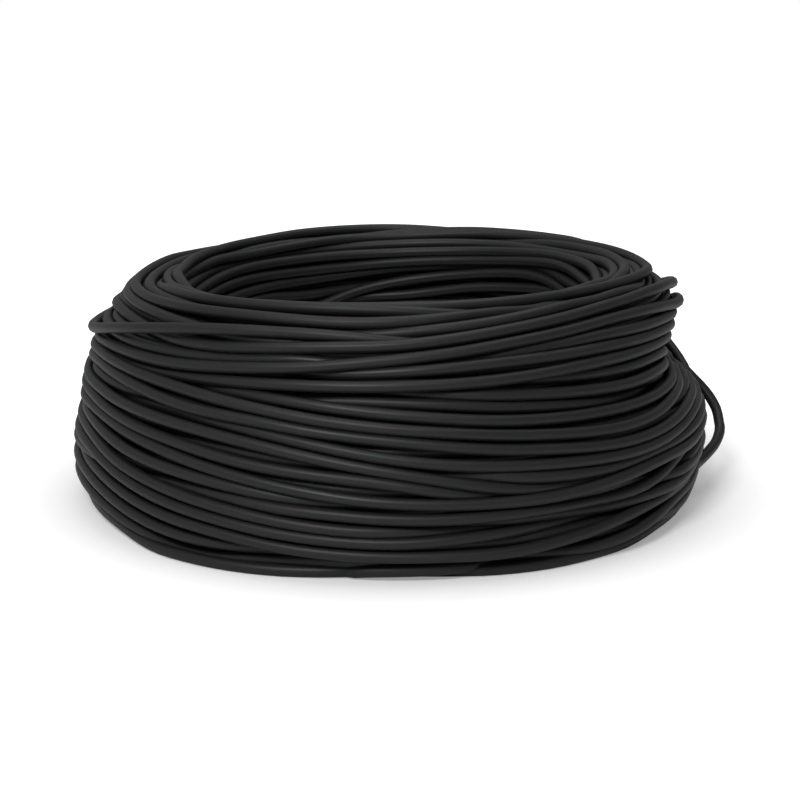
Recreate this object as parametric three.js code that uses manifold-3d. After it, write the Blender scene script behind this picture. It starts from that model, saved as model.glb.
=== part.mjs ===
// Coil of round network cable, lying flat. Millimetres, +Z up, origin under the middle of its outline.
import * as THREE from "three";
import { mergeVertices } from "three/addons/utils/BufferGeometryUtils.js";
import Module from "manifold-3d";

// Cable
const cableDiameter = 5.2;

// Coil, measured over the outside of the cable
const outerRadius = 156;
const wallThickness = 61;
const coilHeight = 112;
const bellyHeight = 20; // where the coil is widest
const footInset = 10; // how far the bottom turns lie in from the widest ones
const footRise = 4; // where the foot's curve bends up
const shoulderInset = 23; // how far the outermost top turns lie in from the widest ones
const shoulderDrop = 12; // their depth below the crown
const shoulderEase = 6; // how far in the shoulder's curve bends towards the crown
const rimDrop = 16; // height of the rounded edge round the top of the bore
const rimInset = 3; // width of the rounded edge round its bottom

// Turns, as ridges on the coil's surface
const grooveDepth = 1.5;
const crestShare = 0.62; // flat share of each ridge
const segmentsAround = 32;

// Loose loop on the side: degrees round the coil, distance out from outerRadius and height
const loopRoute = [
  [34, -20, 78],
  [25, -16, 69],
  [17.5, -10, 59],
  [13, -3.5, 49],
  [10, 4.5, 39.5],
  [7.5, 8, 32],
  [4, 7.5, 25.5],
  [0, 3.5, 21],
  [-5, -2.5, 18.5],
  [-12, -9, 16.5],
  [-22, -9.5, 17.5],
];
const loopSides = 8;
const loopStepLength = 2 * cableDiameter;

const boreRadius = outerRadius - wallThickness;
const footRadius = outerRadius - footInset;
const shoulderRadius = outerRadius - shoulderInset;
const shoulderHeight = coilHeight - shoulderDrop;
const crownRadius = (shoulderRadius + boreRadius) / 2;
const bellyTangentHeight = (bellyHeight + shoulderHeight) / 2;
const rimRadius = boreRadius + rimInset;
const rimHeight = coilHeight - rimDrop;

// Outline of the coil's section: x is the distance from the axis, y the height
function sectionOutline() {
  const outline = new THREE.Path();
  outline.moveTo(rimRadius, 0);
  outline.lineTo(footRadius, 0);
  outline.quadraticCurveTo(outerRadius, footRise, outerRadius, bellyHeight);
  outline.quadraticCurveTo(outerRadius, bellyTangentHeight, shoulderRadius, shoulderHeight);
  outline.quadraticCurveTo(shoulderRadius - shoulderEase, coilHeight, crownRadius, coilHeight);
  outline.quadraticCurveTo(boreRadius, coilHeight, boreRadius, rimHeight);
  outline.lineTo(boreRadius, rimInset);
  outline.quadraticCurveTo(boreRadius, 0, rimRadius, 0);
  return outline;
}

// One ridge for each turn: two points on its crest, then one down in the groove before the next
function ridgedSection(outline) {
  const turns = Math.round(outline.getLength() / cableDiameter);
  const points = [];
  for (let turn = 0; turn < turns; turn++) {
    points.push(outline.getPointAt(turn / turns));
    points.push(outline.getPointAt((turn + crestShare) / turns));
    const grooveAt = (turn + (1 + crestShare) / 2) / turns;
    const tangent = outline.getTangentAt(grooveAt);
    const inward = new THREE.Vector2(-tangent.y, tangent.x);
    points.push(outline.getPointAt(grooveAt).addScaledVector(inward, grooveDepth));
  }
  points.push(points[0].clone());
  return points;
}

function coilGeometry() {
  const geometry = new THREE.LatheGeometry(ridgedSection(sectionOutline()), segmentsAround);
  return geometry.rotateX(Math.PI / 2);
}

// The loop runs out of the wall and back in, so both of its ends are buried in the coil
function loopGeometry() {
  const route = new THREE.CatmullRomCurve3(
    loopRoute.map(([degrees, out, height]) => {
      const angle = THREE.MathUtils.degToRad(degrees);
      const radius = outerRadius + out;
      return new THREE.Vector3(radius * Math.cos(angle), radius * Math.sin(angle), height);
    }),
  );
  const section = new THREE.Shape();
  for (let side = 0; side < loopSides; side++) {
    const angle = (side / loopSides) * 2 * Math.PI;
    const x = (cableDiameter / 2) * Math.cos(angle);
    const y = (cableDiameter / 2) * Math.sin(angle);
    if (side === 0) section.moveTo(x, y);
    else section.lineTo(x, y);
  }
  section.closePath();
  const steps = Math.round(route.getLength() / loopStepLength);
  return new THREE.ExtrudeGeometry(section, { steps, extrudePath: route });
}

function toSolid(wasm, geometry) {
  const bare = geometry.clone();
  bare.deleteAttribute("normal");
  bare.deleteAttribute("uv");
  const merged = mergeVertices(bare);
  return new wasm.Manifold(
    new wasm.Mesh({
      numProp: 3,
      vertProperties: new Float32Array(merged.attributes.position.array),
      triVerts: new Uint32Array(merged.index.array),
    }),
  );
}

function toGeometry(solid) {
  const mesh = solid.getMesh();
  const geometry = new THREE.BufferGeometry();
  geometry.setAttribute("position", new THREE.BufferAttribute(mesh.vertProperties, 3));
  geometry.setIndex(new THREE.BufferAttribute(mesh.triVerts, 1));
  geometry.computeVertexNormals();
  return geometry;
}

const wasm = await Module();
wasm.setup();

const coil = toGeometry(toSolid(wasm, coilGeometry()).add(toSolid(wasm, loopGeometry())));

// The origin lies under the middle of the whole outline, so the coil's own axis stands a little off it
coil.computeBoundingBox();
const middle = coil.boundingBox.getCenter(new THREE.Vector3());
coil.translate(-middle.x, -middle.y, 0);

const sheath = new THREE.MeshStandardMaterial({ color: 0x26272a, roughness: 0.55, metalness: 0 });
const cableCoil = new THREE.Mesh(coil, sheath);
cableCoil.name = "cable_coil";

const part = new THREE.Group();
part.add(cableCoil);

export default part;
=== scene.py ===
# Loose coil of network cable, lying flat. Metres, +Z up, in the frame of the CAD part.
import math

import bpy
import numpy as np
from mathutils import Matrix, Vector


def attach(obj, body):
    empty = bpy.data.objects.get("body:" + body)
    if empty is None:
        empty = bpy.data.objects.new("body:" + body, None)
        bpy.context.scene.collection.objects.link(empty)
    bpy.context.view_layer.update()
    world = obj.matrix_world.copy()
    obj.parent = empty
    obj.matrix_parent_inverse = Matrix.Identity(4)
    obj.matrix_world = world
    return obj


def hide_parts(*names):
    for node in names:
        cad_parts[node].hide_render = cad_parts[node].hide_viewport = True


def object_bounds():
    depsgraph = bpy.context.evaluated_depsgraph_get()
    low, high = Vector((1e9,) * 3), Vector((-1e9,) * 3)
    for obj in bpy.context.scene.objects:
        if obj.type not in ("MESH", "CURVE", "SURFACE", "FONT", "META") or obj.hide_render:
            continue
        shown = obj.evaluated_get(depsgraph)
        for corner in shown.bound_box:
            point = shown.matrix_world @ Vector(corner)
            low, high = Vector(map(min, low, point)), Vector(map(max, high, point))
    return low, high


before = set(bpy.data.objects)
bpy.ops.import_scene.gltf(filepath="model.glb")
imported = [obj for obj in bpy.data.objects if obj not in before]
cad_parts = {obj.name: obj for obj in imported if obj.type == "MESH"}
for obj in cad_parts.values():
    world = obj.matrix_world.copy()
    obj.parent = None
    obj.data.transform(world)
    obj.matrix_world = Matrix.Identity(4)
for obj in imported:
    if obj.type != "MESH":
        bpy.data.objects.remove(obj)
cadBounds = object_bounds()
mm = 0.001
fullTurn = 2 * math.pi

# The slack loop widens the outline on the right, so the coil's own axis lies left of the origin
coilRadius = 156 * mm
coilAxisX = cadBounds[0].x + coilRadius

view = {
    "position": (coilAxisX + 3.6 * mm, -900 * mm, 262 * mm),
    "pitchDown": 13.74,  # degrees
    "lens": 85,
    "sensor": 36,
    "pixels": 800,
    "rayFrom": 0.70,  # the stretch of each ray that is searched for the coil, in so many steps
    "rayTo": 1.10,
    "raySteps": 1601,
}


def addCamera():
    data = bpy.data.cameras.new("viewCamera")
    data.lens = view["lens"]
    data.sensor_width = view["sensor"]
    data.clip_start = 0.05
    camera = bpy.data.objects.new("viewCamera", data)
    camera.location = view["position"]
    camera.rotation_euler = (math.radians(90 - view["pitchDown"]), 0, 0)
    bpy.context.scene.collection.objects.link(camera)
    bpy.context.scene.camera = camera


addCamera()
print("camera placed")

# The coil's turned form, the same as in the CAD part
coil = {
    "outerRadius": coilRadius,
    "wall": 61 * mm,
    "height": 112 * mm,
    "bellyHeight": 20 * mm,
    "footInset": 10 * mm,
    "footRise": 4 * mm,
    "shoulderInset": 23 * mm,
    "shoulderDrop": 12 * mm,
    "shoulderEase": 6 * mm,
    "rimDrop": 16 * mm,
    "rimInset": 3 * mm,
    "axisX": coilAxisX,
}

# Where the wound coil is slimmer than the turned one: degrees round, height, the spread of both, depth
dents = [
    (0, 70, 30, 14, 15),
    (0, 45, 25, 15, 1),
    (346, 14, 20, 20, 6),
    (306, 22.5, 12, 5.5, 8),
    (180, 104, 50, 12, 4.5),
    (180, 46, 30, 14, 2),
]

cable = {
    "diameter": 5.2 * mm,
    "sides": 10,
    "stepsPerTurn": 120,
    "pieces": 3,
}

# Strands that can be followed, as points (across, down) in the view's 800 pixels, with the
# millimetres that the strand lies under the coil's surface. A word changes what the numbers mean:
# "far" is a point on the coil's far edge, "level" has the height above the floor in third place,
# "ring" has the distance from the axis there, and "polar" is degrees round, that distance and height.
strands = {
    "front": {
        "foot": [(across, down, 2.6, "level") for across, down in (
            (112, 514), (122, 523), (132, 531), (142, 538.5), (155, 545.5), (170, 551), (185, 555.5),
            (205, 560.5), (230, 566), (260, 569.3), (300, 569.8), (340, 569.5), (400, 569.3),
            (450, 569.5), (500, 569), (540, 565.5), (560, 562), (580, 557.5), (600, 552), (620, 546),
            (633, 539.5), (645, 530), (653, 522.5))],
        "footUpper": [(85.5, 478), (95, 492), (105, 502), (115, 511), (125, 520), (140, 530), (155, 539),
            (175, 549), (200, 556), (230, 558.5), (260, 560), (300, 561), (330, 562, 2), (360, 563, 5),
            (520, 562, 5), (545, 558, 3.5), (570, 553.5, 1), (600, 547.5), (620, 540), (634, 532),
            (645, 525), (655, 516.5), (663, 508), (671, 498.5), (677, 490.5), (683, 482)],
        "lowRow": [(84, 462), (90, 472), (100, 485), (110, 495), (125, 508), (140, 518), (160, 528),
            (180, 536), (200, 541), (225, 545, 2), (285, 549, 6), (350, 548.5, 1.5), (400, 548.5, 1.5),
            (450, 544.5, 1.5), (500, 541, 2), (530, 536, 3), (560, 529, 5), (580, 524, 8)],
        "loopRow": [(87, 450), (95, 463), (100, 469), (110, 480), (120, 490), (135, 500), (150, 509),
            (165, 516), (180, 521.5), (200, 527), (225, 534), (250, 541), (275, 547), (300, 551),
            (325, 554), (350, 556), (400, 558), (450, 556), (500, 555), (530, 549), (560, 541),
            (590, 531), (620, 519), (650, 503), (670, 490), (688, 475), (700, 464), (709, 455, -4),
            (717, 440, -9), (720.5, 425, -11, "far"), (717, 410, -10.5, "far"),
            (709, 398, -8.5, "far"), (698, 385, -5.5, "far"), (687, 372, -2.5, "far"),
            (675, 355, 0, "far")],
        "rowS": [(82, 437), (90, 441), (100, 455), (110, 466), (120, 475), (135, 485.5), (150, 494.5),
            (165, 502), (180, 508), (200, 514), (225, 521.5), (250, 528), (275, 533.5), (300, 537.5),
            (350, 542.5), (400, 543.5), (450, 540), (500, 534, 1), (530, 528, 3), (560, 521, 5),
            (590, 513, 7), (620, 504, 7), (650, 490, 5), (672, 474, 3), (687, 457, 1.5),
            (697, 437, 148, "ring"), (2, 146.2, 52, "polar"), (8, 143.4, 59, "polar"),
            (15, 140.5, 67, "polar"), (24, 137.5, 76, "polar")],
        "rowR": [(86, 420), (95, 434), (103, 446), (112, 457), (125, 467), (140, 476), (160, 486),
            (180, 494.5), (200, 501.5), (225, 509), (250, 515.5), (275, 521.5), (300, 526),
            (350, 532.5), (400, 534), (450, 531), (500, 525), (530, 519, 2), (555, 513, 5),
            (575, 508, 8)],
        "rowQ": [(140, 470, 2.5), (165, 478, 1), (180, 484), (200, 490), (225, 496.5), (250, 502.5),
            (275, 508), (300, 511), (350, 517), (400, 520.5), (450, 520), (500, 516), (530, 512),
            (560, 506, 1), (600, 500, 1), (630, 493, 1), (650, 484, 1), (668, 466, 2), (680, 450, 3.5),
            (688, 435, 5)],
        "rowP": [(86, 402), (92, 413), (97, 422), (105, 431), (115, 441.5), (130, 452), (150, 462),
            (175, 470.5), (200, 478.5), (225, 484.5), (250, 491), (275, 497.5), (300, 501.5),
            (330, 504, 2), (380, 507, 4)],
        "rowO": [(83, 390), (92, 401), (100, 410), (110, 418), (120, 426), (135, 435.5), (150, 443.5),
            (165, 451), (180, 457.5), (200, 465.5), (225, 473), (250, 480), (275, 486.5), (300, 491.5),
            (325, 496), (350, 500.5), (375, 503), (400, 504.5), (450, 505.5), (500, 503), (530, 500),
            (560, 495), (590, 488), (620, 478), (640, 469), (655, 460), (668, 447)],
        "thinRow": [(300, 488, 4), (340, 491, 1.5), (370, 492, 1.5), (400, 492, 1.5), (430, 492, 2),
            (460, 492, 4)],
        "rowN": [(95, 396), (105, 407, 1), (120, 419, 2), (135, 426, 1.5), (150, 433, 1), (165, 437.5),
            (180, 443.5), (200, 451), (225, 458.5), (250, 465.5), (275, 470), (300, 473.5), (325, 477),
            (350, 479.5), (375, 482), (400, 484), (425, 487), (445, 491, 3)],
        "deepRow": [(200, 444, 4), (225, 448, 4), (250, 454, 4), (275, 459, 4), (300, 462, 4),
            (330, 466, 4)],
        "rowM": [(88, 372), (95, 381), (105, 390), (115, 399), (130, 406), (150, 415), (175, 422.5),
            (200, 430), (225, 437), (250, 443), (275, 449.5), (300, 455.5), (325, 461.5), (350, 466),
            (375, 470.5), (400, 475), (425, 478.5), (450, 482), (470, 485), (490, 488), (510, 490.5),
            (530, 491.5), (550, 489, 1.5), (570, 485, 3), (600, 477, 4), (630, 467, 4), (655, 454, 4)],
        "rowL": [(165, 403, 5), (180, 410, 4), (200, 416.5, 1.5), (225, 423.5), (250, 430), (275, 436),
            (300, 442.5), (325, 448), (350, 453), (375, 457.5), (400, 461.5), (425, 464), (450, 466),
            (500, 467), (550, 464.5), (600, 459), (620, 456), (640, 450.5), (657, 443), (672, 433),
            (686, 418), (693, 405)],
        "rowK": [(93, 348), (100, 358), (110, 368), (120, 376), (135, 385), (150, 392.5), (165, 399),
            (180, 405), (200, 411), (225, 415.5), (250, 420), (275, 425), (300, 430), (325, 434, 1.5),
            (350, 437, 1.5), (375, 440, 1), (400, 442), (450, 447.5), (500, 450.5), (550, 449),
            (600, 446.5), (620, 444), (640, 439.5), (655, 434), (670, 425), (682, 413), (690, 399)],
        "rowJ": [(93, 338), (100, 347), (110, 357.5), (125, 366), (140, 373.5), (155, 379), (175, 386),
            (200, 393.5), (225, 401.5), (250, 407), (275, 412.5), (300, 418), (325, 422), (350, 425.5),
            (375, 428), (400, 430.5), (450, 433), (500, 435.5), (550, 434.5), (600, 431), (620, 428),
            (640, 422.5), (655, 415), (668, 404), (676, 390)],
        "rowI": [(190, 379, 5), (210, 388, 2.5), (240, 393.5), (270, 398.5), (300, 403), (330, 408),
            (350, 411), (380, 414), (400, 415.5), (450, 419.5), (500, 421.5), (550, 419), (580, 416),
            (600, 412), (620, 408.5), (640, 402.5), (655, 396), (666, 387), (674, 372)],
        "deepRight": [(320, 398, 3), (360, 402, 2.5), (400, 404, 2.5), (450, 404.5, 3), (500, 408, 3),
            (550, 406, 4), (600, 402, 4), (640, 391, 4)],
        "rowH": [(380, 391, 4), (420, 394, 2), (450, 396), (500, 395.5), (550, 393.5), (600, 389),
            (620, 386), (640, 380), (655, 372), (665, 362), (671, 351)],
        "rowG": [(140, 366, 5), (175, 374, 4), (200, 378, 3.5), (225, 381, 2.5), (250, 383, 1.5),
            (275, 384, 0.5), (300, 385.5), (350, 387), (400, 386.5), (450, 384.5), (500, 380),
            (550, 372), (600, 361), (620, 357), (640, 350), (655, 343), (667, 334)],
        "rowGlow": [(500, 382, 4), (530, 381, 2), (560, 377), (600, 372.5), (620, 369), (640, 363),
            (655, 354), (667, 343)],
        "rowF": [(300, 370, 5), (330, 374, 3), (350, 375, 1.5), (400, 372.5), (450, 368.5),
            (500, 362.5), (550, 356.5), (600, 347.5), (620, 343.5), (640, 338.5), (655, 332),
            (668, 324), (676, 316)],
        "rowFup": [(470, 362, 5), (500, 354, 2), (550, 346.5), (600, 335), (620, 331), (640, 327.5),
            (655, 322), (668, 315), (678, 308, -2)],
        "rowE": [(96, 333, 1), (103, 339), (110, 343), (120, 348), (140, 355.5), (160, 361),
            (180, 364.5), (200, 366), (220, 367), (250, 367.5), (300, 367.5), (350, 364.5), (380, 362),
            (400, 359.5), (450, 353.5), (500, 344.5), (550, 335.5), (600, 321.5), (620, 316),
            (640, 311), (660, 306), (672, 303, 137.6, "ring"), (679, 301, 138.5, "ring"),
            (3, 138.3, 94.5, "polar"), (6, 138, 90.5, "polar"), (10, 136.5, 85, "polar"),
            (17, 134, 79.5, "polar")],
        "rowD": [(119, 297), (122, 307), (130, 315), (142, 323, 2), (155, 331, 3), (167, 337, 2),
            (180, 341, 0.5), (200, 345), (220, 347), (250, 348), (300, 347.5), (350, 347), (400, 346),
            (450, 340), (500, 331), (550, 321), (600, 307), (620, 301), (640, 294), (655, 287.5),
            (668, 281, 138.5, "ring"), (681, 279, 141, "ring"), (3, 141.5, 102.8, "polar"),
            (6, 140.5, 100, "polar"), (10, 137.5, 96, "polar"), (17, 134, 91, "polar")],
        "tipRow": [(158, 138.5, 81.5, "polar"), (166, 142, 80.4, "polar"), (174, 144.2, 79.6, "polar"),
            (182, 144.6, 79.9, "polar"), (189, 144.3, 81.6, "polar"), (102, 327.5, 143.6, "ring"),
            (125, 327.5, 140.5, "ring"), (150, 327.5, 137, "ring"), (200, 328, 133.5, "ring"),
            (250, 330), (280, 332), (300, 333), (330, 335.5, 0.5), (350, 337, 1.5), (370, 338, 2.5),
            (400, 338, 5)],
        "emerging": [(126, 295, 1.5), (133, 306, 1), (145, 314, 1), (160, 320, 2.5), (180, 326, 5),
            (400, 334, 4), (430, 331, 2), (450, 328.5, 0.5), (500, 321.5), (550, 310), (580, 303, 1.5),
            (610, 296, 3.5)],
        "topRing": [(135, 284), (141, 292), (150, 298), (165, 303), (180, 306), (200, 309.5),
            (220, 312.5), (250, 315.5), (280, 318.5), (300, 320.5), (330, 323), (350, 324),
            (380, 323.5), (400, 323), (430, 320.5), (450, 318, 0.5), (480, 314.5, 2), (510, 311, 4),
            (550, 304, 5)],
        "rim": [(180, 277, 103.5, "ring"), (184, 287, 103.5, "ring"), (192, 294.5, 103.5, "ring"),
            (205, 299, 104, "ring"), (220, 301.5, 105, "ring"), (250, 304.5, 107, "ring"),
            (280, 306, 108.5, "ring"), (300, 307.5), (350, 308), (400, 307.5), (450, 305),
            (500, 301), (540, 296), (580, 291.5), (600, 288), (620, 283), (640, 274.5), (649, 268)],
    },
    "rear": {
        "topRingRear": [(240, 247, 4), (215, 251, 2), (195, 254.5), (180, 257), (165, 260), (152, 264),
            (142, 270), (136, 277)],
        "innerTop": [(230, 254, 4), (200, 257, 1), (180, 263), (165, 270), (154, 279), (149, 287),
            (156, 294, 2)],
        "rearA": [(600, 253, 5), (540, 241, 4), (500, 235, 3), (460, 230.5, 1.5), (400, 228),
            (350, 229), (300, 233.5), (260, 241), (240, 245), (220, 250), (200, 256.5, 107, "ring"),
            (187, 265, 105, "ring"), (181, 272, 103.8, "ring")],
        "rearB": [(640, 259.5), (620, 252.5), (600, 247.5), (560, 240.5), (500, 234),
            (450, 234.5), (400, 237), (350, 240), (300, 245), (260, 253), (240, 256.5), (220, 261.5)],
        "rearC": [(612, 280, 1), (614, 270, 1), (605, 262, 1), (585, 258.5), (560, 254), (540, 250.5),
            (500, 245), (450, 243.5), (400, 244.5), (350, 246.5), (300, 251, 1.5), (250, 261, 3)],
        "rearD": [(598, 279, 1), (594, 269), (580, 262), (555, 257), (530, 254.5), (500, 252.5),
            (450, 252), (400, 252.5), (350, 254.5), (300, 259.5), (260, 265), (240, 269.5), (220, 276)],
        "rearE": [(579, 284), (576, 273.5), (568, 265.5), (553, 260.5), (530, 259), (500, 259.5),
            (450, 259.5), (400, 262), (350, 267), (300, 272), (260, 277), (235, 282)],
        "rearF": [(540, 268, 5), (450, 266, 4), (400, 268, 2), (350, 274), (320, 278.5), (300, 281.5),
            (260, 288)],
        "rearG": [(560, 283, 2), (545, 276.5, 1), (530, 273.5), (500, 272.5), (470, 274), (430, 277),
            (400, 281), (370, 287), (345, 293), (325, 299)],
        "rearH": [(450, 279, 3), (400, 284, 1.5), (370, 287, 0.5), (350, 289), (320, 294),
            (300, 296.5), (270, 299)],
        "rearI": [(540, 290, 3), (510, 287, 1.5), (470, 287), (430, 292), (400, 296)],
    },
}

slackLoop = {
    # Degrees round, distance out from outerRadius and height, in millimetres, against the winding
    "route": [
        (34, -20, 78), (25, -16, 69), (17.5, -10, 59), (13, -3.5, 49), (10, 4.5, 39.5), (7.5, 8, 32),
        (4, 7.5, 25.5), (0, 3.5, 21), (-5, -2.5, 18.5), (-12, -9, 16.5), (-22, -9.5, 17.5),
    ],
    "strand": "loopRow",  # the one that the loop is part of
    "strandEnd": 337,  # degrees round, where the loop takes over from its strand's own points
    "leaves": 333,
    "returns": 36,
    "spacing": 3.5 * mm,
    "under": -30,
}

# Order of the turns from the floor up the outside and over the top, rear half first
wallOrder = [
    ("", "foot"), ("", "footUpper"), ("", "lowRow"), ("", "rowS"), ("", "rowR"), ("", "rowQ"),
    ("", "loopRow"), ("", "rowK"), ("", "rowP"), ("", "rowO"), ("", "thinRow"), ("", "rowN"),
    ("", "deepRow"), ("", "rowM"), ("", "rowL"), ("", "rowJ"), ("", "rowI"), ("", "deepRight"),
    ("", "rowH"), ("", "rowG"), ("", "rowGlow"), ("", "rowF"), ("", "rowFup"), ("", "rowE"),
    ("", "rowD"), ("", "tipRow"), ("", "emerging"), ("topRingRear", "topRing"), ("innerTop", ""),
    ("rearA", "rim"), ("rearB", ""), ("rearC", ""), ("rearD", ""), ("rearE", ""), ("rearF", ""),
    ("rearG", ""), ("rearH", ""), ("rearI", ""),
]


def quadratic(start, control, end, count):
    t = np.linspace(0, 1, count, endpoint=False)[:, None]
    return (1 - t) ** 2 * np.array(start) + 2 * t * (1 - t) * np.array(control) + t * t * np.array(end)


def straight(start, end, count):
    t = np.linspace(0, 1, count, endpoint=False)[:, None]
    return (1 - t) * np.array(start) + t * np.array(end)


def sectionOutline():
    c = coil
    bore = c["outerRadius"] - c["wall"]
    foot = c["outerRadius"] - c["footInset"]
    shoulder = (c["outerRadius"] - c["shoulderInset"], c["height"] - c["shoulderDrop"])
    crown = ((shoulder[0] + bore) / 2, c["height"])
    middle = ((bore + foot) / 2, 0)
    belly = (c["outerRadius"], c["bellyHeight"])
    points = np.concatenate([
        straight(middle, (foot, 0), 24),
        quadratic((foot, 0), (c["outerRadius"], c["footRise"]), belly, 24),
        quadratic(belly, (c["outerRadius"], (c["bellyHeight"] + shoulder[1]) / 2), shoulder, 40),
        quadratic(shoulder, (shoulder[0] - c["shoulderEase"], c["height"]), crown, 24),
        quadratic(crown, (bore, c["height"]), (bore, c["height"] - c["rimDrop"]), 24),
        straight((bore, c["height"] - c["rimDrop"]), (bore, c["rimInset"]), 40),
        quadratic((bore, c["rimInset"]), (bore, 0), (bore + c["rimInset"], 0), 8),
        straight((bore + c["rimInset"], 0), middle, 24),
    ])
    closed = np.vstack([points, points[:1]])
    run = np.concatenate([[0], np.cumsum(np.hypot(*np.diff(closed, axis=0).T))])
    at = np.linspace(0, run[-1], 321)[:-1]
    return np.stack([np.interp(at, run, closed[:, 0]), np.interp(at, run, closed[:, 1])], 1)


# Depth under the section's outline on a fine grid, positive inside, with its slopes
def depthField(outline, step=0.5 * mm, margin=16 * mm):
    low = outline.min(0) - margin
    high = outline.max(0) + margin
    columns = np.arange(low[0], high[0], step)
    rows = np.arange(low[1], high[1], step)
    radius, height = np.meshgrid(columns, rows, indexing="ij")
    nearest = np.full(radius.shape, np.inf)
    inside = np.zeros(radius.shape, bool)
    for (ar, az), (br, bz) in zip(outline, np.roll(outline, -1, 0)):
        er, ez = br - ar, bz - az
        t = np.clip(((radius - ar) * er + (height - az) * ez) / (er * er + ez * ez), 0, 1)
        nearest = np.minimum(nearest, np.hypot(radius - ar - t * er, height - az - t * ez))
        crossed = radius < er * (height - az) / (ez if ez else 1e-12) + ar
        inside ^= ((az > height) != (bz > height)) & crossed
    depth = np.where(inside, nearest, -nearest)
    slopes = np.gradient(depth, step)
    return {"low": low, "step": step, "depth": depth, "slopeR": slopes[0], "slopeZ": slopes[1]}


def readField(name, radius, height):
    grid = field[name]
    x = np.clip((radius - field["low"][0]) / field["step"], 0, grid.shape[0] - 1.001)
    y = np.clip((height - field["low"][1]) / field["step"], 0, grid.shape[1] - 1.001)
    i, j = x.astype(int), y.astype(int)
    a, b = x - i, y - j
    low = (1 - a) * grid[i, j] + a * grid[i + 1, j]
    high = (1 - a) * grid[i, j + 1] + a * grid[i + 1, j + 1]
    return (1 - b) * low + b * high


def dentDepth(angle, height):
    total = np.zeros(np.broadcast(angle, height).shape)
    for degrees, middle, wide, tall, deep in dents:
        turn = (angle - math.radians(degrees) + math.pi) % fullTurn - math.pi
        fall = (turn / math.radians(wide)) ** 2 + ((height - middle * mm) / (tall * mm)) ** 2
        total = total + deep * mm * np.exp(-fall)
    return total


# How far outside the surface a strand may lie whose points give its own height or radius, in millimetres
looseUnder = {"level": -9, "ring": -14, "polar": -14}


# Angle, radius and height where the view's ray through a pixel meets the strands' own layer
def onCoil(across, down, under=0, side="near", front=True):
    if side == "polar":
        return math.radians(across) % fullTurn, down * mm, under * mm, looseUnder[side]
    focal = view["lens"] / view["sensor"] * view["pixels"]
    pitch = math.radians(view["pitchDown"])
    right = (across - view["pixels"] / 2) / focal
    up = (view["pixels"] / 2 - down) / focal
    ray = np.array([right, math.cos(pitch) + up * math.sin(pitch), up * math.cos(pitch) - math.sin(pitch)])
    reaches = np.linspace(view["rayFrom"], view["rayTo"], view["raySteps"])
    points = np.array(view["position"]) + reaches[:, None] * ray
    if side == "level":
        reach = (view["position"][2] - under * mm) / -ray[2]
        points = np.array(view["position"]) + reach * ray[None]
    overlap = 4 * mm
    if front and side not in ("far", "level"):
        points = points[points[:, 1] < overlap]
    if not front and side == "ring":
        points = points[points[:, 1] > -overlap]
    x, y, height = points[:, 0] - coil["axisX"], points[:, 1], points[:, 2]
    radius = np.hypot(x, y)
    angle = np.arctan2(y, x)
    if side == "level":
        return angle[0] % fullTurn, radius[0], height[0], looseUnder[side]
    if side == "ring":
        best = int(np.argmin(np.abs(radius - under * mm)))
        return angle[best] % fullTurn, radius[best], height[best], looseUnder[side]
    depth = readField("depth", radius, height) - cable["diameter"] / 2 - under * mm - dentDepth(angle, height)
    hit = np.nonzero(depth > 0)[0]
    if side == "far" and len(hit):
        gaps = np.nonzero(np.diff(hit) > 1)[0]
        best = hit[gaps[0]] if len(gaps) else hit[-1]
    else:
        best = hit[0] if len(hit) else int(np.argmax(depth))
    return angle[best] % fullTurn, radius[best], height[best], under


def strandKeys(group, name):
    if not name:
        return []
    keys = [onCoil(*point, front=group == "front") for point in strands[group][name]]
    angles = np.unwrap([key[0] for key in keys])
    if angles.min() < -0.01:
        angles = angles + fullTurn
    if group == "rear" and angles.max() > 1.1 * fullTurn:
        angles = angles - fullTurn
    last = math.radians(slackLoop["strandEnd"]) if name == slackLoop["strand"] else math.inf
    keys = sorted((angle,) + tuple(key[1:]) for angle, key in zip(angles, keys) if angle < last)
    leastStep = 0.004
    return [key for i, key in enumerate(keys) if i == 0 or key[0] - keys[i - 1][0] > leastStep]


def sunk(radius, height, depth):
    slopeR = readField("slopeR", radius, height)
    slopeZ = readField("slopeZ", radius, height)
    return radius + depth * slopeR, height + depth * slopeZ


# How the turns are laid before they settle: places in turns, lengths in cable diameters
winding = {
    "coreSpacing": 5.56 * mm,
    "coreTop": 1.9,
    "coreBottom": 1.3,
    "coreDepth": 1.45,
    "coreEntry": 0.17,
    "entry": 0.12,  # hidden turns run level from here
    "exit": 0.95,  # to here, and then step over to the next
    "bottomTurns": 9,
    "bottomFrom": 0.8,
    "bottomTo": 1.7,
    "freeBefore": 0.6,  # a strand that begins later than this comes up from inside the coil
    "freeAfter": 0.9,
    "dive": 0.07,
    "diveDepth": 1.6,
    "crossAt": 0.75,  # where a turn known only at the rear passes the front
    "crossDrop": 2,
    "topCrossInset": 3,
    "topCrossDrop": 3.4,
    "boreFrom": 0.8,
    "boreTo": 0.9,
    "boreStep": 1.02,
    "endInset": 2.2,
}


# Loose hexagonal rows inside, from the top down, every other row the other way
def coreSlots():
    spacing = winding["coreSpacing"]
    rowStep = spacing * math.sqrt(3) / 2
    bore = coil["outerRadius"] - coil["wall"]
    slots = []
    height = coil["height"] - winding["coreTop"] * cable["diameter"]
    row = 0
    while height > winding["coreBottom"] * cable["diameter"]:
        line = np.arange(bore, coil["outerRadius"], spacing) + (row % 2) * spacing / 2
        depth = readField("depth", line, np.full(line.shape, height))
        line = line[depth > winding["coreDepth"] * cable["diameter"]]
        slots += [(radius, height) for radius in (line if row % 2 else line[::-1])]
        height -= rowStep
        row += 1
    return slots


def freeKey(place, radius, height):
    return place, radius, height, False, 0


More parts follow.
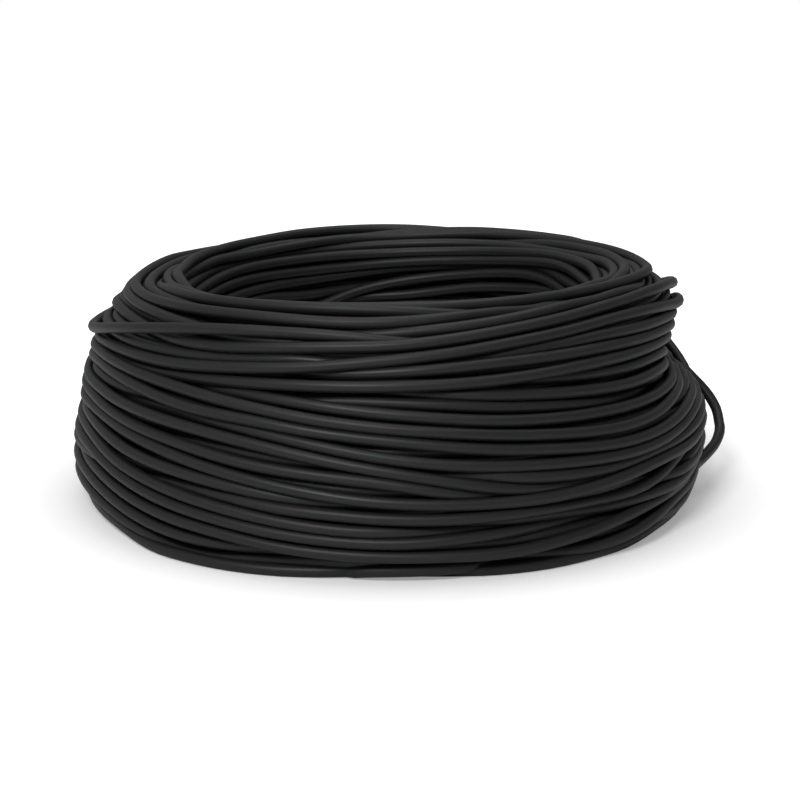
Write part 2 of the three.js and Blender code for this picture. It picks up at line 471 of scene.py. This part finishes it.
def hiddenTurn(turn, radius, height, entry=winding["entry"]):
    return [freeKey(turn + entry, radius, height), freeKey(turn + winding["exit"], radius, height)]


# The keys of one turn that shows, and of its way through where it is hidden
def shownTurn(turn, rear, front):
    w = winding
    d = cable["diameter"]
    bore = coil["outerRadius"] - coil["wall"]
    rearKeys = strandKeys("rear", rear)
    frontKeys = strandKeys("front", front)
    both = sorted(rearKeys + frontKeys)
    own = [(turn + angle / fullTurn, radius, height, True, under) for angle, radius, height, under in both]
    first, last = own[0], own[-1]
    if frontKeys and not rearKeys and first[0] - turn > w["freeBefore"]:
        own.insert(0, freeKey(first[0] - w["dive"], *sunk(first[1], first[2], w["diveDepth"] * d)))
    if frontKeys and last[0] - turn < w["freeAfter"]:
        own.append(freeKey(last[0] + w["dive"], *sunk(last[1], last[2], w["diveDepth"] * d)))
    if front == slackLoop["strand"]:
        for degrees, out, height in slackLoop["route"][::-1][1:]:
            place = turn + 1 + degrees / 360
            own.append((place, coil["outerRadius"] + out * mm, height * mm, True, slackLoop["under"]))
    if rear == "innerTop":
        height = coil["height"] - w["topCrossDrop"] * d
        own.append(freeKey(turn + w["crossAt"], bore + w["topCrossInset"] * d, height))
    elif not frontKeys:
        height = np.mean([key[2] for key in rearKeys]) - w["crossDrop"] * d
        own.append(freeKey(turn + w["crossAt"], bore + d / 2, height))
    return own


# Every turn as keys of (turns, radius, height, whether it is held there, under)
def chainKeys():
    w = winding
    d = cable["diameter"]
    bore = coil["outerRadius"] - coil["wall"]
    bottomEdge = coil["outerRadius"] - coil["footInset"] - w["bottomTo"] * d
    keys = []
    turn = 0
    for radius, height in coreSlots():
        keys += hiddenTurn(turn, radius, height, w["coreEntry"])
        turn += 1
    for radius in np.linspace(bore + w["bottomFrom"] * d, bottomEdge, w["bottomTurns"]):
        keys += hiddenTurn(turn, radius, d / 2)
        turn += 1
    wallStart = turn
    for rear, front in wallOrder:
        keys += shownTurn(turn, rear, front)
        turn += 1
    lowest = keys[-1][2]
    for height in np.arange(lowest - w["boreFrom"] * d, w["boreTo"] * d, -w["boreStep"] * d):
        keys += hiddenTurn(turn, bore + d / 2, height)
        turn += 1
    keys.append(freeKey(turn, bore + w["endInset"] * d, w["endInset"] * d))
    keys.insert(0, freeKey(0, keys[0][1], keys[0][2]))
    return keys, turn, wallStart


def slicePairs(radius, height, reach):
    first, second, slices = [], [], []
    for j in range(radius.shape[1]):
        dr = radius[:, j][:, None] - radius[:, j][None, :]
        dz = height[:, j][:, None] - height[:, j][None, :]
        a, b = np.nonzero(np.triu(dr * dr + dz * dz < reach * reach, 1))
        first.append(a)
        second.append(b)
        slices.append(np.full(len(a), j))
    return np.concatenate(first), np.concatenate(second), np.concatenate(slices)


# Unit direction in each slice that shows in the view; the one square to it only changes the depth
def acrossView(angle, radius, height):
    stretch = fullTurn / angle.shape[1] * radius
    slopeR = np.gradient(radius.reshape(-1)).reshape(radius.shape) / stretch
    slopeZ = np.gradient(height.reshape(-1)).reshape(radius.shape) / stretch
    ray = coilPoint(angle, radius, height) - np.array(view["position"])
    inR = ray[..., 0] * np.cos(angle) + ray[..., 1] * np.sin(angle)
    along = ray[..., 1] * np.cos(angle) - ray[..., 0] * np.sin(angle)
    inR = inR - along * slopeR
    inZ = ray[..., 2] - along * slopeZ
    size = np.hypot(inR, inZ)
    return -inZ / size, inR / size


def easedLine(values, amount, times=2):
    line = values.reshape(-1).copy()
    for _ in range(times):
        line[1:-1] += amount * (line[:-2] + line[2:] - 2 * line[1:-1])
    return line.reshape(values.shape)


settling = {
    "seed": 11,
    "wander": 3.2 * mm,
    "wanderEvery": 0.21,  # turns
    "holdSpan": 0.14,  # keys further apart than this leave the cable free between them
    "holdRamp": 9,
    "rounds": 320,
    "pairsEvery": 8,
    "reach": 1.35,  # diameters
    "clearance": 1.005,
    "push": 0.42,
    "heldShare": 0.25,  # of a push, for a held turn beside a free one
    "lateFrom": 0.8,  # share of the rounds
    "viewPull": 0.5,
    "lateViewPull": 0.6,
    "depthPull": 0.03,
    "homePull": 0.01,
    "latePull": 0.3,
    "ease": 0.2,
}


# The line before it settles, how firmly each step is held, and its depth under the surface
def laidTurns(keys, turns):
    s = settling
    steps = cable["stepsPerTurn"]
    keys = sorted(keys, key=lambda key: key[0])
    at = np.array([key[0] for key in keys])
    place = np.arange(turns * steps) / steps
    radius = np.interp(place, at, [key[1] for key in keys])
    height = np.interp(place, at, [key[2] for key in keys])
    held = np.zeros(turns * steps)
    under = np.zeros(turns * steps)
    for i in range(len(keys) - 1):
        if keys[i][3] and keys[i + 1][3] and at[i + 1] - at[i] < s["holdSpan"]:
            span = (place >= at[i]) & (place <= at[i + 1])
            held[span] = 1
            under[span] = np.interp(place[span], at[i:i + 2], [keys[i][4], keys[i + 1][4]])
    ramp = np.hanning(s["holdRamp"])
    held = np.convolve(held, ramp / ramp.sum(), "same")
    under = np.convolve(under, ramp / ramp.sum(), "same")
    random = np.random.default_rng(s["seed"])
    knots = np.arange(0, turns + 1, s["wanderEvery"])
    wanderR = np.interp(place, knots, random.normal(0, 1, len(knots)))
    wanderZ = np.interp(place, knots, random.normal(0, 1, len(knots)))
    free = 1 - held
    radius = radius + s["wander"] * free * wanderR
    height = height + s["wander"] * free * wanderZ
    return [values.reshape(turns, steps) for values in (radius, height, held, under)]


# How far the turns that overlap push each other apart, along the radius and up
def pushes(radius, height, held, pairs):
    s = settling
    a, b, j = pairs
    flat = np.arange(radius.size).reshape(radius.shape)
    dr = radius[a, j] - radius[b, j]
    dz = height[a, j] - height[b, j]
    gap = np.hypot(dr, dz) + 1e-9
    push = np.maximum(0, cable["diameter"] * s["clearance"] - gap) / gap * s["push"]
    yielding = np.where(held[a, j] < held[b, j], 1 - s["heldShare"], 0.5)
    shareA = np.where(held[a, j] > held[b, j], s["heldShare"], yielding)
    moveR = np.zeros(radius.size)
    moveZ = np.zeros(radius.size)
    for index, share, sign in ((flat[a, j], shareA, 1), (flat[b, j], 1 - shareA, -1)):
        moveR += sign * np.bincount(index, push * dr * share * 2, radius.size)
        moveZ += sign * np.bincount(index, push * dz * share * 2, radius.size)
    return moveR.reshape(radius.shape), moveZ.reshape(radius.shape)


# The turns settle: those that overlap push each other apart in every slice round the coil, while
# the held ones are drawn back to their place in the view and all of them stay under the surface
def windTurns():
    s = settling
    d = cable["diameter"]
    steps = cable["stepsPerTurn"]
    keys, turns, wallStart = chainKeys()
    radius, height, held, under = laidTurns(keys, turns)
    targetR = radius.copy()
    targetZ = height.copy()
    angle = np.broadcast_to(np.arange(steps) / steps * fullTurn, radius.shape)
    acrossR, acrossZ = acrossView(angle, radius, height)
    for count in range(s["rounds"]):
        if count % s["pairsEvery"] == 0:
            pairs = slicePairs(radius, height, s["reach"] * d)
        late = count > s["rounds"] * s["lateFrom"]
        moveR, moveZ = pushes(radius, height, held, pairs)
        radius = radius + moveR
        height = height + moveZ
        offR = targetR - radius
        offZ = targetZ - height
        pull = (s["depthPull"] * held + s["homePull"] * (1 - held)) * (s["latePull"] if late else 1)
        seen = held * (offR * acrossR + offZ * acrossZ) * (s["lateViewPull"] if late else 1) * s["viewPull"]
        radius += pull * offR + seen * acrossR
        height += pull * offZ + seen * acrossZ
        radius = easedLine(radius, s["ease"])
        height = easedLine(height, s["ease"])
        limit = d / 2 + under * mm + dentDepth(angle, height)
        short = np.maximum(0, limit - readField("depth", radius, height))
        radius = radius + short * readField("slopeR", radius, height)
        height = height + short * readField("slopeZ", radius, height)
        height = np.maximum(height, d / 2)
    print("cable wound in", turns, "turns")
    return radius, height, wallStart


def smoothRoute(points, spacing):
    points = np.array(points)
    padded = np.vstack([2 * points[0] - points[1], points, 2 * points[-1] - points[-2]])
    out = []
    for i in range(1, len(padded) - 2):
        p0, p1, p2, p3 = padded[i - 1:i + 3]
        count = max(2, int(np.linalg.norm(p2 - p1) / spacing))
        t = np.linspace(0, 1, count, endpoint=False)[:, None]
        out.append(0.5 * (2 * p1 + (p2 - p0) * t + (2 * p0 - 5 * p1 + 4 * p2 - p3) * t ** 2
                          + (3 * p1 - p0 - 3 * p2 + p3) * t ** 3))
    return np.vstack(out + [points[-1:]])


def coilPoint(angle, radius, height):
    return np.stack([coil["axisX"] + radius * np.cos(angle), radius * np.sin(angle), height], -1)


# One line of points along the whole cable, with the slack loop let in
def cableLine():
    radius, height, wallStart = windTurns()
    steps = cable["stepsPerTurn"]
    angle = np.arange(radius.size) / steps * fullTurn
    line = coilPoint(angle, radius.reshape(-1), height.reshape(-1))
    loopTurn = wallStart + [front for _, front in wallOrder].index(slackLoop["strand"])
    start = int((loopTurn + slackLoop["leaves"] / 360) * steps)
    end = int((loopTurn + 1 + slackLoop["returns"] / 360) * steps)
    loop = [coilPoint(math.radians(degrees), coil["outerRadius"] + out * mm, height * mm)
            for degrees, out, height in slackLoop["route"][::-1]]
    joined = np.vstack([line[start - 6:start - 1:2], loop, line[end + 2:end + 8:2]])
    route = smoothRoute(joined, slackLoop["spacing"])
    line = np.vstack([line[:start - 6], route, line[end + 8:]])
    half = cable["diameter"] / 2
    for axis in range(3):
        line[:, axis] = np.clip(line[:, axis], cadBounds[0][axis] + half, cadBounds[1][axis] - half)
    return line


# A tube round the line, which keeps the coordinates of the straightened cable for its material
def tubeMesh(name, line, runStart):
    sides = cable["sides"]
    along = np.gradient(line, axis=0)
    along /= np.linalg.norm(along, axis=1)[:, None]
    out = line * [1, 1, 0] - [coil["axisX"], 0, 0]
    out /= np.linalg.norm(out, axis=1)[:, None]
    out -= (out * along).sum(1)[:, None] * along
    out /= np.linalg.norm(out, axis=1)[:, None]
    up = np.cross(along, out)
    turn = np.arange(sides) / sides * fullTurn
    ring = np.cos(turn)[None, :, None] * out[:, None] + np.sin(turn)[None, :, None] * up[:, None]
    points = (line[:, None] + cable["diameter"] / 2 * ring).reshape(-1, 3)
    count = len(line)
    row = np.arange(count - 1)[:, None] * sides
    side = np.arange(sides)[None, :]
    after = (side + 1) % sides
    faces = np.stack([row + side, row + sides + side, row + sides + after, row + after], -1).reshape(-1, 4)
    mesh = bpy.data.meshes.new(name)
    ends = [list(range(sides)), list(range((count - 1) * sides, count * sides))[::-1]]
    mesh.from_pydata(points.tolist(), [], faces.tolist() + ends)
    mesh.shade_smooth()
    run = np.concatenate([[0], np.cumsum(np.linalg.norm(np.diff(line, axis=0), axis=1))])
    straight = np.empty((count, sides, 3), np.float32)
    straight[..., 0] = (runStart + run)[:, None]
    straight[..., 1] = cable["diameter"] / 2 * np.cos(turn)[None]
    straight[..., 2] = cable["diameter"] / 2 * np.sin(turn)[None]
    layer = mesh.attributes.new("straightened", "FLOAT_VECTOR", "POINT")
    layer.data.foreach_set("vector", straight.reshape(-1))
    return mesh, float(run[-1])


field = depthField(sectionOutline())
line = cableLine()

sheath = {
    "color": (0.0135, 0.0138, 0.0145, 1),
    "worn": (0.040, 0.040, 0.041, 1),
    "rubShare": 0.5,  # of the worn colour, at a full rub mark and at the lightest tone
    "toneShare": 0.12,
    "roughness": (0.40, 0.56),
    "specular": 0.36,
    "bump": 0.16,
    "bumpDistance": 0.4 * mm,
}

# Noise and the span of it that shows, or the share of the relief that it makes up
wear = {
    "streaks": ({"scale": 900, "detail": 3, "stretch": (0.05, 1, 1)}, (0.56, 0.74)),
    "patches": ({"scale": 28, "detail": 2}, (0.45, 0.72)),
    "specks": ({"scale": 1500, "detail": 1}, (0.70, 0.78)),
    "speckShare": 0.5,
    "tone": ({"scale": 9, "detail": 2}, (0.3, 0.7)),
}
jacket = {
    "lines": ({"scale": 1400, "detail": 2, "stretch": (0.03, 1, 1)}, 0.35),
    "pores": ({"scale": 4200, "detail": 1}, 0.2),
    "swell": ({"scale": 110, "detail": 1, "stretch": (0.6, 1, 1)}, 1.1),
}


def socket(group, name, kind, way):
    group.interface.new_socket(name=name, in_out=way, socket_type=kind)


def node(tree, kind, **settings):
    made = tree.nodes.new(kind)
    for name, value in settings.items():
        setattr(made, name, value)
    return made


def noise(tree, vector, scale, detail, stretch=(1, 1, 1)):
    mapping = node(tree, "ShaderNodeMapping")
    mapping.inputs["Scale"].default_value = stretch
    tree.links.new(vector, mapping.inputs["Vector"])
    made = node(tree, "ShaderNodeTexNoise")
    made.inputs["Scale"].default_value = scale
    made.inputs["Detail"].default_value = detail
    tree.links.new(mapping.outputs["Vector"], made.inputs["Vector"])
    return made.outputs["Fac"]


def ranged(tree, value, low, high, toLow=0.0, toHigh=1.0):
    made = node(tree, "ShaderNodeMapRange", clamp=True)
    for name, number in (("From Min", low), ("From Max", high), ("To Min", toLow), ("To Max", toHigh)):
        made.inputs[name].default_value = number
    tree.links.new(value, made.inputs["Value"])
    return made.outputs["Result"]


def combined(tree, kind, first, second):
    made = node(tree, "ShaderNodeMath", operation=kind)
    for place, value in enumerate((first, second)):
        if isinstance(value, (int, float)):
            made.inputs[place].default_value = value
        else:
            tree.links.new(value, made.inputs[place])
    return made.outputs["Value"]


# Rub marks, dust haze and slow tone changes, in the coordinates of the straightened cable
def wearGroup():
    group = bpy.data.node_groups.new("sheathWear", "ShaderNodeTree")
    socket(group, "Along", "NodeSocketVector", "INPUT")
    socket(group, "Place", "NodeSocketVector", "INPUT")
    socket(group, "Rub", "NodeSocketFloat", "OUTPUT")
    socket(group, "Tone", "NodeSocketFloat", "OUTPUT")
    inside = node(group, "NodeGroupInput")
    outside = node(group, "NodeGroupOutput")
    along = inside.outputs["Along"]
    place = inside.outputs["Place"]
    streaks, patches, specks, tone = [
        ranged(group, noise(group, vector, **wear[name][0]), *wear[name][1])
        for name, vector in (("streaks", along), ("patches", place), ("specks", along), ("tone", along))
    ]
    rub = combined(group, "MULTIPLY", streaks, patches)
    rub = combined(group, "ADD", rub, combined(group, "MULTIPLY", specks, wear["speckShare"]))
    group.links.new(rub, outside.inputs["Rub"])
    group.links.new(tone, outside.inputs["Tone"])
    return group


# Height of the extruded jacket: faint drawn lines, pores and the swell of the pairs inside
def jacketGroup():
    group = bpy.data.node_groups.new("jacketRelief", "ShaderNodeTree")
    socket(group, "Along", "NodeSocketVector", "INPUT")
    socket(group, "Height", "NodeSocketFloat", "OUTPUT")
    inside = node(group, "NodeGroupInput")
    outside = node(group, "NodeGroupOutput")
    along = inside.outputs["Along"]
    lines, pores, swell = [
        combined(group, "MULTIPLY", noise(group, along, **settings), share)
        for settings, share in jacket.values()
    ]
    height = combined(group, "ADD", combined(group, "ADD", lines, pores), swell)
    group.links.new(height, outside.inputs["Height"])
    return group


def sheathMaterial():
    material = bpy.data.materials.new("blackSheath")
    material.use_nodes = True
    tree = material.node_tree
    shader = tree.nodes["Principled BSDF"]
    shader.inputs["Specular IOR Level"].default_value = sheath["specular"]
    along = node(tree, "ShaderNodeAttribute", attribute_name="straightened")
    place = node(tree, "ShaderNodeTexCoord")
    marks = node(tree, "ShaderNodeGroup", node_tree=wearGroup())
    tree.links.new(along.outputs["Vector"], marks.inputs["Along"])
    tree.links.new(place.outputs["Object"], marks.inputs["Place"])
    relief = node(tree, "ShaderNodeGroup", node_tree=jacketGroup())
    tree.links.new(along.outputs["Vector"], relief.inputs["Along"])
    shade = node(tree, "ShaderNodeMix", data_type="RGBA")
    shade.inputs["A"].default_value = sheath["color"]
    shade.inputs["B"].default_value = sheath["worn"]
    rub = combined(tree, "MULTIPLY", marks.outputs["Rub"], sheath["rubShare"])
    tone = combined(tree, "MULTIPLY", marks.outputs["Tone"], sheath["toneShare"])
    amount = combined(tree, "ADD", rub, tone)
    tree.links.new(amount, shade.inputs["Factor"])
    tree.links.new(shade.outputs["Result"], shader.inputs["Base Color"])
    roughness = ranged(tree, marks.outputs["Tone"], 0, 1, *sheath["roughness"])
    tree.links.new(roughness, shader.inputs["Roughness"])
    bump = node(tree, "ShaderNodeBump")
    bump.inputs["Strength"].default_value = sheath["bump"]
    bump.inputs["Distance"].default_value = sheath["bumpDistance"]
    tree.links.new(relief.outputs["Height"], bump.inputs["Height"])
    tree.links.new(bump.outputs["Normal"], shader.inputs["Normal"])
    return material


blackSheath = sheathMaterial()
print("sheath material made")

# One cord may be 60 m long at most, so the line is cut where it lies inside the winding
cuts = np.linspace(0, len(line) - 1, cable["pieces"] + 1).astype(int)
runStart = 0.0
for number in range(cable["pieces"]):
    part = line[cuts[number]:cuts[number + 1] + 1]
    mesh, length = tubeMesh("cable_%d" % (number + 1), part, runStart)
    runStart += length
    piece = bpy.data.objects.new(mesh.name, mesh)
    bpy.context.scene.collection.objects.link(piece)
    mesh.materials.append(blackSheath)
    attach(piece, "root")
    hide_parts("cable_coil")
    print(mesh.name, "length", round(length, 2), "faces", len(mesh.polygons))

bpy.context.scene.view_settings.view_transform = "Standard"

stage = {
    "floor": (0.86, 0.86, 0.86, 1),
    "floorRoughness": 0.9,
    "floorHalf": 6,
    "floorGlowAndPaintedShadow": (0.28, 0.80),  # camera-only glow: low beside the coil as a painted contact shadow, high far out
    "paintedShadowSpan": (0.15, 0.25),
    "sky": 1.0,
    "ambient": (0.46, 0.20),  # from the left and from the right
    "lights": [("key", (-0.36, -1.15, 1.12), 0.42, 11), ("top", (0.1, 0.3, 1.6), 1.2, 7)],
    "aim": (0, 0, 0.03),
}


def addFloor():
    mesh = bpy.data.meshes.new("floor")
    half = stage["floorHalf"]
    corners = [(-half, -half, 0), (half, -half, 0), (half, half, 0), (-half, half, 0)]
    mesh.from_pydata(corners, [], [(0, 1, 2, 3)])
    floor = bpy.data.objects.new("floor", mesh)
    bpy.context.scene.collection.objects.link(floor)
    paint = bpy.data.materials.new("floorPaint")
    paint.use_nodes = True
    shader = paint.node_tree.nodes["Principled BSDF"]
    shader.inputs["Base Color"].default_value = stage["floor"]
    shader.inputs["Roughness"].default_value = stage["floorRoughness"]
    shader.inputs["Emission Color"].default_value = (1, 1, 1, 1)
    rays = node(paint.node_tree, "ShaderNodeLightPath")
    place = node(paint.node_tree, "ShaderNodeTexCoord").outputs["Object"]
    away = node(paint.node_tree, "ShaderNodeVectorMath", operation="LENGTH")
    paint.node_tree.links.new(place, away.inputs[0])
    # Camera-only floor glow that rises with distance from the coil: a painted contact shadow near the coil,
    # and evenly white further out
    glowAndPaintedShadow = ranged(paint.node_tree, away.outputs["Value"], *stage["paintedShadowSpan"], *stage["floorGlowAndPaintedShadow"])
    glowAndPaintedShadow = combined(paint.node_tree, "MULTIPLY", rays.outputs["Is Camera Ray"], glowAndPaintedShadow)
    paint.node_tree.links.new(glowAndPaintedShadow, shader.inputs["Emission Strength"])
    mesh.materials.append(paint)


def addLights():
    for name, place, size, power in stage["lights"]:
        data = bpy.data.lights.new(name, "AREA")
        data.size = size
        data.energy = power
        light = bpy.data.objects.new(name, data)
        light.location = place
        towards = Vector(stage["aim"]) - Vector(place)
        light.rotation_euler = towards.to_track_quat("-Z", "Y").to_euler()
        bpy.context.scene.collection.objects.link(light)
    world = bpy.data.worlds.new("studio")
    world.use_nodes = True
    tree = world.node_tree
    shown = tree.nodes["Background"]
    shown.inputs["Color"].default_value = (1, 1, 1, 1)
    shown.inputs["Strength"].default_value = stage["sky"]
    lit = node(tree, "ShaderNodeBackground")
    sides = node(tree, "ShaderNodeSeparateXYZ")
    tree.links.new(node(tree, "ShaderNodeTexCoord").outputs["Generated"], sides.inputs["Vector"])
    tree.links.new(ranged(tree, sides.outputs["X"], -1, 1, *stage["ambient"]), lit.inputs["Strength"])
    rays = node(tree, "ShaderNodeLightPath")
    mix = node(tree, "ShaderNodeMixShader")
    tree.links.new(rays.outputs["Is Camera Ray"], mix.inputs["Fac"])
    tree.links.new(lit.outputs["Background"], mix.inputs[1])
    tree.links.new(shown.outputs["Background"], mix.inputs[2])
    tree.links.new(mix.outputs["Shader"], tree.nodes["World Output"].inputs["Surface"])
    bpy.context.scene.world = world


addFloor()
addLights()
print("stage set")
